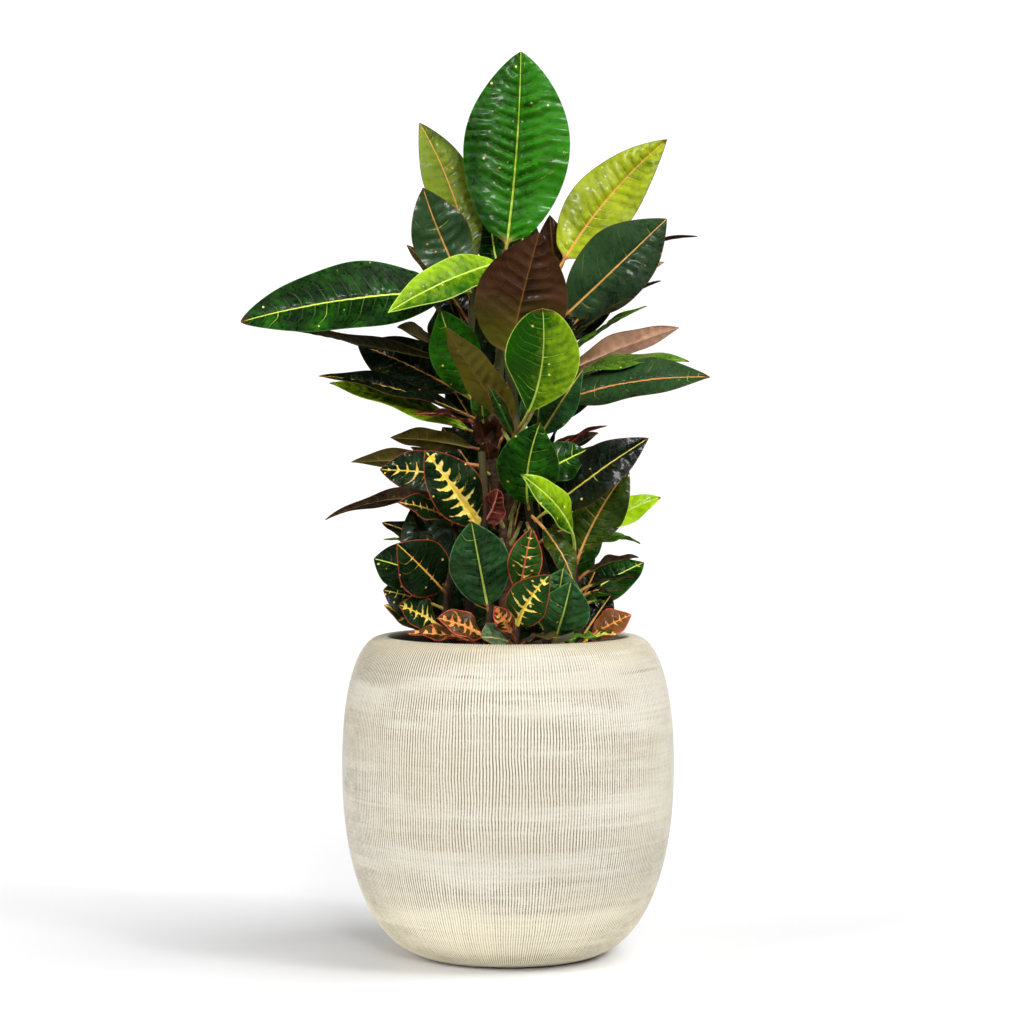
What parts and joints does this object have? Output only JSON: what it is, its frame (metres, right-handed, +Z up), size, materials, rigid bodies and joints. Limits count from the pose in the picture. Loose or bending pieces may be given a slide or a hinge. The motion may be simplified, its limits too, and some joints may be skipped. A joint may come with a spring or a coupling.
{
  "type": "potted croton",
  "caption": "Bushy croton with green, lime, bronze and yellow veined leaves, in a round ivory planter with fine vertical combed grooves.",
  "frame": {"origin": "middle of the planter's flat foot, on the surface that it stands on", "axes": "+Z up along the planter, +X to the right and -Y to the front as in the picture"},
  "size_m": [0.4994, 0.3674, 0.981],
  "materials": {
    "planter_ceramic": "ivory satin glaze over fine combed grooves, beige in the grooves",
    "soil": "moist dark potting soil, matte and crumbly",
    "bark": "grey brown bark with leaf scars, matte",
    "leaf_deep": "glossy deep green leaf with a pale yellow midrib",
    "leaf_dark": "glossy blackish green leaf with an orange midrib",
    "leaf_green": "semi-gloss mid green leaf",
    "leaf_lime": "young lime green leaf, semi-gloss",
    "leaf_yellow": "yellow green mottled leaf with an orange yellow midrib",
    "leaf_olive": "olive leaf, satin",
    "leaf_bronze": "red brown leaf underside, satin",
    "leaf_brown": "brown leaf underside, satin",
    "leaf_pink": "dusty pink leaf underside with pale veins",
    "leaf_purple": "purple black leaf",
    "leaf_grey": "grey green leaf underside",
    "leaf_orange": "dark leaf with broad orange veins",
    "leaf_yellow_veined": "blackish green leaf with broad yellow veins and a red edge",
    "leaf_red_veined": "green leaf with red midrib and yellow veins"
  },
  "bodies": {
    "root": {"trunk": "bark", "crown": "leaf_deep", "left_shoot": "leaf_dark", "right_shoot": "leaf_dark", "front_shoot": "leaf_green", "low_left": "leaf_dark", "low_right": "leaf_deep", "base_left": "leaf_dark", "base_right": "leaf_dark", "front_a": "leaf_deep", "front_b": "leaf_green", "front_c": "leaf_deep", "back_low": "leaf_dark", "back_right": "leaf_deep", "leaf_crown_left_olive": "leaf_olive", "leaf_lime_fold": "leaf_lime", "leaf_bronze_back": "leaf_bronze", "leaf_lime_left": "leaf_lime", "leaf_bronze_center": "leaf_bronze", "leaf_lime_center": "leaf_lime", "leaf_right_top": "leaf_yellow", "leaf_right_sliver": "leaf_brown", "leaf_right_pink2": "leaf_pink", "leaf_right_purple": "leaf_purple", "leaf_right_tan": "leaf_brown", "leaf_center_strip": "leaf_red_veined", "leaf_lime_small": "leaf_lime", "leaf_right_olive": "leaf_olive", "leaf_right_hang": "leaf_olive", "leaf_right_lime": "leaf_lime", "leaf_brown_small": "leaf_brown", "leaf_hero_left": "leaf_yellow_veined", "leaf_red_fold": "leaf_purple", "leaf_left_curl": "leaf_olive", "leaf_left_var": "leaf_yellow_veined", "leaf_left_olive": "leaf_olive", "leaf_left_brown": "leaf_brown", "leaf_left_fall": "leaf_yellow_veined", "leaf_left_big_var": "leaf_yellow_veined", "leaf_left_low_var": "leaf_yellow_veined", "leaf_left_low_yel": "leaf_yellow_veined", "leaf_front_orange": "leaf_orange", "leaf_front_rim": "leaf_orange", "leaf_front_fold": "leaf_orange", "leaf_front_cross": "leaf_grey", "leaf_front_flat": "leaf_brown", "leaf_front_red": "leaf_red_veined", "leaf_front_yel": "leaf_yellow_veined", "leaf_right_base": "leaf_orange", "leaf_right_base_pale": "leaf_yellow_veined", "leaf_fan_b": "leaf_brown", "planter": "planter_ceramic", "soil": "soil"}
  },
  "joints": []
}
